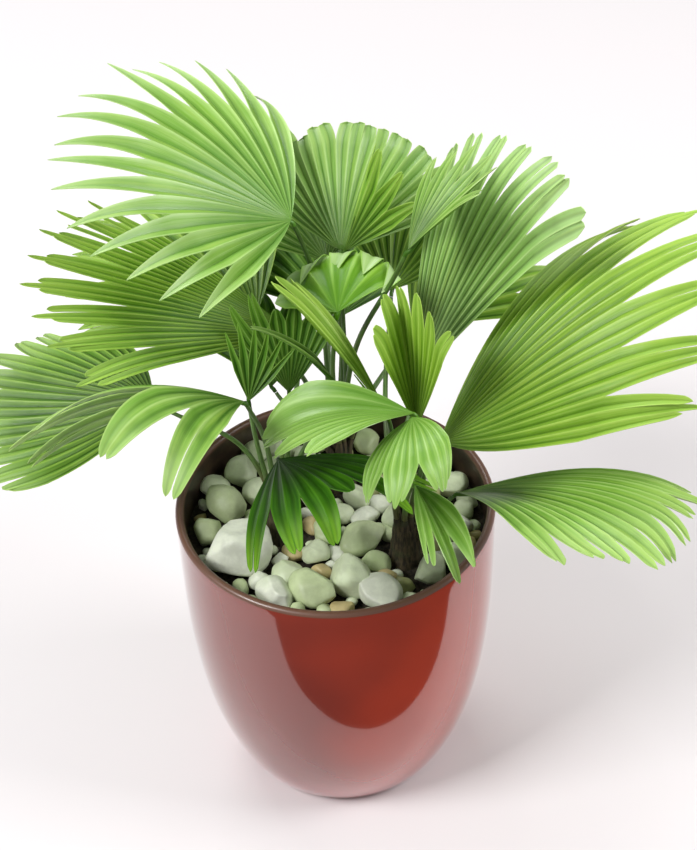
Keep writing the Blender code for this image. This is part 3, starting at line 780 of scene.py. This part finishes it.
class Fan:
    """The surface that a frond's ribs span, with its upward normals."""

    def __init__(self, frond):
        self.frond = frond
        self.points = ribs(frond, np.linspace(-frond.right, frond.left, FAN_ANGLES))
        onward = np.gradient(self.points, axis=1)
        sideways = np.gradient(self.points, axis=0)
        self.normals = unit(np.cross(onward, sideways))
        self.normals[:, 0] = self.normals[:, 1]

    def sample(self, grid, angles, shares):
        """Values of a grid at angles from the midrib and shares of the ribs' length."""
        spread = self.frond.left + self.frond.right
        row = np.clip((angles + self.frond.right) / spread, 0, 1) * (FAN_ANGLES - 1)
        column = np.clip(shares, 0, 1) * RIB_STEPS
        i = np.minimum(row.astype(int), FAN_ANGLES - 2)
        j = np.minimum(column.astype(int), RIB_STEPS - 1)
        a = (row - i)[:, None]
        b = (column - j)[:, None]
        near = grid[i, j] * (1 - a) + grid[i + 1, j] * a
        far = grid[i, j + 1] * (1 - a) + grid[i + 1, j + 1] * a
        return near * (1 - b) + far * b


def leaflet_reach(frond, middle, split, known):
    """How far a leaflet of the frame's solid grows, read from where its tip lies."""
    rib = ribs(frond, [middle])[0]
    for reach in LEAFLET_REACHES:
        end = split + max(1, round((RIB_STEPS - split) * reach))
        if known.find(rib[end])[2] < TIP_MATCH:
            return end
    return None


def known_points(node):
    """The points of a node of the frame, to search by place."""
    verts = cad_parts[node].data.vertices
    tree = KDTree(len(verts))
    for k, vert in enumerate(verts):
        tree.insert(vert.co, k)
    tree.balance()
    return tree


Leaflet = namedtuple("Leaflet", "middle half split end over")


def pleat_shares(row, split, tip):
    """How far out each row of a pleat lies: first the fused rows, then the free ones."""
    fused = (row / FUSED_ROWS) ** FUSED_CROWDING * split
    past = np.clip((row - FUSED_ROWS) / FREE_ROWS, 0, 1)
    free = split + (tip - split) * (1 - (1 - past) ** FREE_CROWDING)
    return np.where(row <= FUSED_ROWS, fused, free)


def add_pleat(bm, fan, layers, leaflet, look, order, index, stray):
    """One V-shaped pleat of a leaflet, from the hub to its own tip."""
    split, end, count = leaflet.split, leaflet.end, look.pleats
    rows = FUSED_ROWS + FREE_ROWS
    made = bmesh.ops.create_grid(bm, x_segments=COLUMNS, y_segments=rows, size=1.0)["verts"]
    grid = np.array([vert.co for vert in made])
    t = grid[:, 0]

    # outline
    offset = (2 * order + 1 - count) / count
    free = end - split
    tip = end - free * STEP_BACK * abs(offset) ** STEP_CURVE
    share = pleat_shares(np.round((grid[:, 1] + 1) / 2 * rows), split, tip)
    beyond = np.clip((share - split) / free, 0, 1)
    narrowing = (split / np.maximum(share, split)) ** look.gape * (1 - beyond) ** look.taper
    leaflet_half = leaflet.half * np.where(share > split, narrowing, 1.0)
    width = leaflet_half / count
    if count > 1:
        start = tip - free * look.tooth
        width = width * (1 - np.clip((share - start) / (tip - start), 0, 1)) ** TOOTH_TAPER
    angles = leaflet.middle + offset * leaflet_half + t * width
    points = fan.sample(fan.points, angles, share)
    normals = fan.sample(fan.normals, angles, share)

    # folds
    spread = np.radians(1.0) * fan.frond.length * share
    fold = 1 - np.abs(t) - ROUNDING * np.sin(2 * pi * np.abs(t))
    ease = 1 - FLATTENING * beyond
    hollow = 0.0 if count == 1 else PLEAT * HOLLOW * 2 * leaflet_half * spread
    across_leaflet = np.abs(offset + t / count)
    depth = look.relief * 2 * width * spread * fold * ease + hollow * (1 - across_leaflet)
    points -= normals * depth[:, None]

    # free tips
    loose = (np.clip((share - split) / (1 - split), 0, 1) ** 2)[:, None]
    if leaflet.over:
        points = fold_over(fan, points, angles, share, split, free)
    left = axes(fan.frond)[1]
    points += loose * CURL * fan.frond.length * (left * stray[0] + normals * stray[1])
    points -= loose * look.sag * fan.frond.length * UPWARD

    # the pale side of a folded tip takes the tip's green
    tint = np.where(share > split, 1.0, share) if leaflet.over else share
    for vert, point, u, v in zip(made, points, index + (t + 1) / 2, tint):
        vert.co = point
        vert[layers[0]] = u
        vert[layers[1]] = v


def fold_over(fan, points, angles, share, split, free):
    """Bend the free part of a leaflet back over the blade."""
    axis, _, up = axes(fan.frond)
    back = unit(up * FOLD_LIFT - axis)
    root = fan.sample(fan.points, angles, np.minimum(share, split))
    ahead = unit(fan.sample(fan.points, angles, np.full(len(share), split + FOLD_HINGE)) - root)
    reach = np.maximum(share - split, 0)[:, None]
    bent = root + points - fan.sample(fan.points, angles, share)
    for step in range(FOLD_STEPS):
        turn = np.clip(reach * (step + 0.5) / FOLD_STEPS / (free * FOLD_SPAN), 0, 1)
        onward = unit(ahead * (1 - turn) + back * turn + up * turn * (1 - turn) * 2)
        bent += onward * reach * fan.frond.length * FOLD_STRETCH / FOLD_STEPS
    return np.where(reach > 0, bent, points)


def add_costa(bm, fan, layers):
    """The petiole's end: it enters under the blade and thins out along the midrib."""
    frond = fan.frond
    shares = np.linspace(0.0, COSTA_REACH, COSTA_STATIONS)
    midrib = np.zeros(COSTA_STATIONS)
    points = fan.sample(fan.points, midrib, shares)
    normals = fan.sample(fan.normals, midrib, shares)
    radii = np.linspace(PETIOLE_TIP, COSTA_TIP, COSTA_STATIONS)
    points = points - normals * (radii + PLEAT * shares * frond.length * COSTA_SINK)[:, None]
    into = knuckle_direction(frond)
    start = np.array(frond.hub) - into * (KNUCKLE - CLEARANCE)
    points = np.vstack((start, start + into * KNUCKLE / 2, points))
    radii = np.concatenate(([PETIOLE_TIP, PETIOLE_TIP * COSTA_SWELL], radii))
    add_limb(bm, points, radii, np.ones(len(radii)), COSTA_SIDES, layers, (0.5, 0.0))


def knuckle_direction(frond):
    """The way that a petiole enters its blade: between its own and the midrib's."""
    foot = FEET[frond.name][0]
    return unit(axes(frond)[0] * KNUCKLE_ALONG + unit(np.array(frond.hub) - foot) * KNUCKLE_OUT)


def add_limb(bm, points, radii, flatness, sides, layers, coordinates=None):
    """A limb through points with closed ends; flatness makes it oval where it is under 1."""
    ahead = unit(np.gradient(np.asarray(points), axis=0))
    across = unit(np.cross(ahead[0], (0.31, 0.95, 0.05)))
    rings = []
    for k, (point, onward) in enumerate(zip(points, ahead)):
        across = unit(across - onward * (across @ onward))
        other = np.cross(onward, across)
        ring = []
        for side in range(sides):
            turn = 2 * pi * side / sides
            out = across * cos(turn) + other * sin(turn) * flatness[k]
            vert = bm.verts.new(point + radii[k] * out)
            vert[layers[0]], vert[layers[1]] = coordinates or (side / sides, k / (len(points) - 1))
            ring.append(vert)
        rings.append(ring)
    for lower, upper in zip(rings, rings[1:]):
        for side in range(sides):
            after = (side + 1) % sides
            bm.faces.new((lower[side], lower[after], upper[after], upper[side]))
    bm.faces.new(rings[0][::-1])
    bm.faces.new(rings[-1])


def thicken(bm, thickness):
    """Close an open sheet into a solid, half the thickness to each side of it."""
    bm.normal_update()
    for vert in bm.verts:
        vert.co += vert.normal * thickness / 2
    bmesh.ops.solidify(bm, geom=bm.faces[:], thickness=thickness)


def make_blade(frond, material, look):
    """A fan of pleated leaflets, each as far out as in the frame, on the petiole's end."""
    fan = Fan(frond)
    known = known_points("blade_" + frond.name)
    split = round(frond.split * RIB_STEPS)
    half = (frond.left + frond.right) / frond.leaflets / 2
    rng = Random(frond.name)
    bm = bmesh.new()
    layers = bm.verts.layers.float.new("u"), bm.verts.layers.float.new("v")
    for k in range(frond.leaflets):
        middle = -frond.right + half * (2 * k + 1)
        end = leaflet_reach(frond, middle, split, known)
        if end is None:
            continue
        over = look.over and abs(middle) < FOLD_SPREAD
        if over:
            end = RIB_STEPS
        short = 1 - SHORTER * rng.random()
        leaflet = Leaflet(middle, half, split / RIB_STEPS, end / RIB_STEPS * short, over)
        stray = np.array((rng.uniform(-1, 1), rng.uniform(*STRAY_UP)))
        for order in range(look.pleats):
            own = np.array((rng.uniform(-1, 1), rng.uniform(-1, 1))) * LOOSENESS
            add_pleat(bm, fan, layers, leaflet, look, order, k * look.pleats + order, stray + own)
    bmesh.ops.remove_doubles(bm, verts=bm.verts, dist=LEAF_WELD)
    bmesh.ops.recalc_face_normals(bm, faces=bm.faces)
    thicken(bm, LEAF_THICKNESS)
    add_costa(bm, fan, layers)
    write_map(bm, layers)
    piece("frond_" + frond.name, bm, [material], "blade_" + frond.name)


# Petioles and stems


def petiole_feet(stem):
    """Where each of a stem's petioles starts, evenly round it, and its way out."""
    x, y = STEMS[stem]
    own = [f for f in FRONDS if f.stem == stem]
    bearing = {f.name: atan2(f.hub[1] - y, f.hub[0] - x) for f in own}
    own.sort(key=lambda f: bearing[f.name])
    step = 2 * pi / len(own)
    offsets = [bearing[f.name] - k * step for k, f in enumerate(own)]
    start = atan2(sum(sin(a) for a in offsets), sum(cos(a) for a in offsets))
    feet = {}
    for k, frond in enumerate(own):
        turn = start + k * step
        outward = np.array((cos(turn), sin(turn), 0.0))
        start_height = SOIL_TOP + STEM_HEIGHT * SHEATH_START
        feet[frond.name] = np.array((x, y, start_height)) + outward * SHEATH_OFFSET, outward
    return feet


FEET = {}
for stem_name in STEMS:
    FEET.update(petiole_feet(stem_name))


def petiole_curve(frond, lift, lean):
    """A curve from inside the stem up and over to the hub."""
    foot, outward = FEET[frond.name]
    into = knuckle_direction(frond)
    end = np.array(frond.hub) - into * KNUCKLE
    span = np.linalg.norm(end - foot)
    rise = foot + UPWARD * span * lift + outward * lean
    turn = end - into * span * PETIOLE_TURN
    t = np.linspace(0, 1, CURVE_STATIONS)[:, None]
    s = 1 - t
    return s**3 * foot + 3 * s**2 * t * rise + 3 * s * t**2 * turn + t**3 * end


def along(curve, places):
    """Points on a curve at distances from its start, and its length."""
    run = np.concatenate(([0], np.cumsum(np.linalg.norm(np.diff(curve, axis=0), axis=1))))
    return np.stack([np.interp(places, run, curve[:, axis]) for axis in range(3)], axis=1), run[-1]


def frame_curve(frond):
    """The curve that fits the petiole's box in the frame best, and its length."""
    low, high = (np.array(corner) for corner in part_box("petiole_" + frond.name))
    best = None
    for lift, lean in product(PETIOLE_LIFTS, PETIOLE_LEANS):
        curve = petiole_curve(frond, lift, lean)
        length = along(curve, [0.0])[1]
        points = along(curve, np.linspace(SHEATH_REACH, length, FIT_STATIONS))[0]
        misfit = np.abs(points.min(0) - low).sum() + np.abs(points.max(0) - high).sum()
        if best is None or misfit < best[0]:
            best = misfit, curve, length
    return best[1], best[2]


def make_petiole(frond, material, curve, length):
    """One tapering limb, slightly oval."""
    bm = bmesh.new()
    layers = bm.verts.layers.float.new("u"), bm.verts.layers.float.new("v")
    places = np.linspace(SHEATH_REACH + CLEARANCE, length - CLEARANCE, PETIOLE_STATIONS)
    left_to_go = 1 - np.linspace(0, 1, PETIOLE_STATIONS)
    radii = PETIOLE_TIP + (PETIOLE_FOOT - PETIOLE_TIP) * left_to_go**PETIOLE_TAPER
    flatness = np.full(PETIOLE_STATIONS, PETIOLE_FLATNESS)
    add_limb(bm, along(curve, places)[0], radii, flatness, PETIOLE_SIDES, layers)
    write_map(bm, layers)
    bmesh.ops.recalc_face_normals(bm, faces=bm.faces)
    piece("stalk_" + frond.name, bm, [material], "petiole_" + frond.name)


def make_stem(name, material, curves):
    """A short stem wrapped in fibrous leaf bases, one for each of its petioles."""
    x, y = STEMS[name]
    bm = bmesh.new()
    layers = bm.verts.layers.float.new("u"), bm.verts.layers.float.new("v")
    base = SOIL_TOP + CLEARANCE
    shares = np.linspace(0, 1, STEM_STATIONS)
    radii = STEM_NECK + (STEM_FOOT - STEM_NECK) * (1 - shares) ** STEM_FLARE
    past = shares - STEM_SHOULDER
    radii *= np.where(past > 0, 1 - STEM_CLOSING * past, 1.0)
    points = np.array([(x, y, base + STEM_HEIGHT * share) for share in shares])
    add_limb(bm, points, radii, np.ones(STEM_STATIONS), STEM_SIDES, layers)
    for vert in bm.verts:
        outward = Vector((vert.co.x - x, vert.co.y - y, 0))
        if outward.length < STEM_AXIS:
            continue
        turn = atan2(outward.y, outward.x)
        rib_and_painted_highlight = noise.noise((turn * FIBRES[0], vert.co.z * FIBRES[1], 3.0)) * FIBRE_HEIGHT
        ring = vert.co.z * RINGS % 1.0 * RING_HEIGHT
        vert.co += outward.normalized() * (rib_and_painted_highlight + ring)
    for frond in (f for f in FRONDS if f.stem == name):
        outward = FEET[frond.name][1]
        lower, waist = (
            np.array((x, y, base + height)) + outward * (STEM_NECK - depth)
            for height, depth in (BASE_LOW, BASE_WAIST)
        )
        places = np.linspace(BASE_JOINS, SHEATH_REACH, BASE_STATIONS)
        upper = along(curves[frond.name][0], places)[0]
        points = np.vstack((lower, waist, upper))
        count = len(points)
        radii = np.interp(np.linspace(0, 1, count), BASE_PLACES, BASE_RADII)
        add_limb(bm, points, radii, np.full(count, BASE_FLATNESS), PETIOLE_SIDES, layers)
    write_map(bm, layers)
    bmesh.ops.recalc_face_normals(bm, faces=bm.faces)
    piece("stem_base_" + name, bm, [material], "stem_" + name)


def make_plant():
    leaves = {tone: leaf_material(tone) for tone in GREENS}
    for frond in FRONDS:
        look = LOOKS[frond.name]
        make_blade(frond, leaves[look.green], look)
    curves = {frond.name: frame_curve(frond) for frond in FRONDS}
    stalk = petiole_material()
    for frond in FRONDS:
        make_petiole(frond, stalk, *curves[frond.name])
    fibre = stem_material()
    for name in STEMS:
        make_stem(name, fibre, curves)


# Stage

CAMERA_TARGET = Vector((0.013, 0.0, 0.357))
CAMERA_DISTANCE = 1.25
CAMERA_ELEVATION = radians(40)
CAMERA_ROLL = radians(-2.1)
CAMERA_LENS = 67.8
CAMERA_SENSOR = 36.0
FLOOR_SIZE = 9.0
FLAG_EDGE = (0.0, -0.215, 0.002)  # middle of the flag's edge at the pot
FLAG_TURN = radians(18)
AIM = (0.0, 0.0, 0.3)  # what the lights point at
# Place, size and power of each light
LIGHTS = {
    "key": ((-2.6, -1.4, 3.4), (1.5, 1.5), 178.0),
    "side": ((2.8, -0.4, 2.6), (1.4, 1.8), 88.0),
    "behind": ((-1.6, 3.2, 4.4), (3.0, 2.0), 135.0),
}
SKY = (1.0, 0.985, 0.99, 1.0)
SKY_STRENGTH = 0.38


def make_camera():
    data = bpy.data.cameras.new("camera")
    data.lens = CAMERA_LENS
    data.sensor_width = CAMERA_SENSOR
    camera = bpy.data.objects.new("camera", data)
    back = Vector((0, -cos(CAMERA_ELEVATION), sin(CAMERA_ELEVATION)))
    turn = back.to_track_quat("Z", "Y").to_matrix().to_4x4()
    place = Matrix.Translation(CAMERA_TARGET + back * CAMERA_DISTANCE)
    camera.matrix_world = place @ turn @ Matrix.Rotation(CAMERA_ROLL, 4, "Z")
    bpy.context.scene.collection.objects.link(camera)
    bpy.context.scene.camera = camera


def make_light(name, place, size, power):
    data = bpy.data.lights.new(name, "AREA")
    data.shape = "RECTANGLE"
    data.size, data.size_y = size
    data.energy = power
    light = bpy.data.objects.new(name, data)
    light.location = place
    light.rotation_euler = (Vector(place) - Vector(AIM)).to_track_quat("Z", "Y").to_euler()
    bpy.context.scene.collection.objects.link(light)


def stage(name, bm, material):
    """Turn a bmesh into something that stands round the object and isn't part of it."""
    mesh = bpy.data.meshes.new(name)
    bm.to_mesh(mesh)
    bm.free()
    mesh.materials.append(material)
    made = bpy.data.objects.new(name, mesh)
    bpy.context.scene.collection.objects.link(made)
    return made


def make_floor():
    bm = bmesh.new()
    bmesh.ops.create_grid(bm, x_segments=1, y_segments=1, size=FLOOR_SIZE)
    n = Nodes("pale_floor")
    tint = n.noise(n.place(), 0.6, 2.0)
    colour = n.mix(tint, (0.655, 0.630, 0.637), (0.670, 0.645, 0.652))
    n.link(colour, n.shader.inputs["Base Color"])
    n.gloss(0.9)
    stage("floor", bm, n.material)


def make_flag():
    """A dark flag on the floor in front, which only the gloss of the glaze sees."""
    bm = bmesh.new()
    bmesh.ops.create_grid(bm, x_segments=1, y_segments=1, size=1.0)
    bmesh.ops.translate(bm, verts=bm.verts, vec=(0.0, -1.0, 0.0))
    place = Matrix.Translation(FLAG_EDGE) @ Matrix.Rotation(FLAG_TURN, 4, "Z")
    bmesh.ops.transform(bm, verts=bm.verts, matrix=place)
    n = Nodes("dark_cloth")
    weave = n.noise(n.place(), 300.0, 2.0)
    colour = n.mix(weave, (0.010, 0.009, 0.008), (0.020, 0.018, 0.016))
    n.link(colour, n.shader.inputs["Base Color"])
    n.gloss(1.0, specular=0.0)
    flag = stage("flag", bm, n.material)
    for ray in ("camera", "diffuse", "transmission", "shadow"):
        setattr(flag, "visible_" + ray, False)


def make_studio():
    make_camera()
    make_floor()
    make_flag()
    for name, light in LIGHTS.items():
        make_light(name, *light)
    world = bpy.data.worlds.new("studio")
    world.use_nodes = True
    background = world.node_tree.nodes["Background"]
    background.inputs["Color"].default_value = SKY
    background.inputs["Strength"].default_value = SKY_STRENGTH
    bpy.context.scene.world = world
    bpy.context.scene.view_settings.view_transform = "Standard"


make_pot()
make_soil()
make_stones()
make_plant()
make_studio()
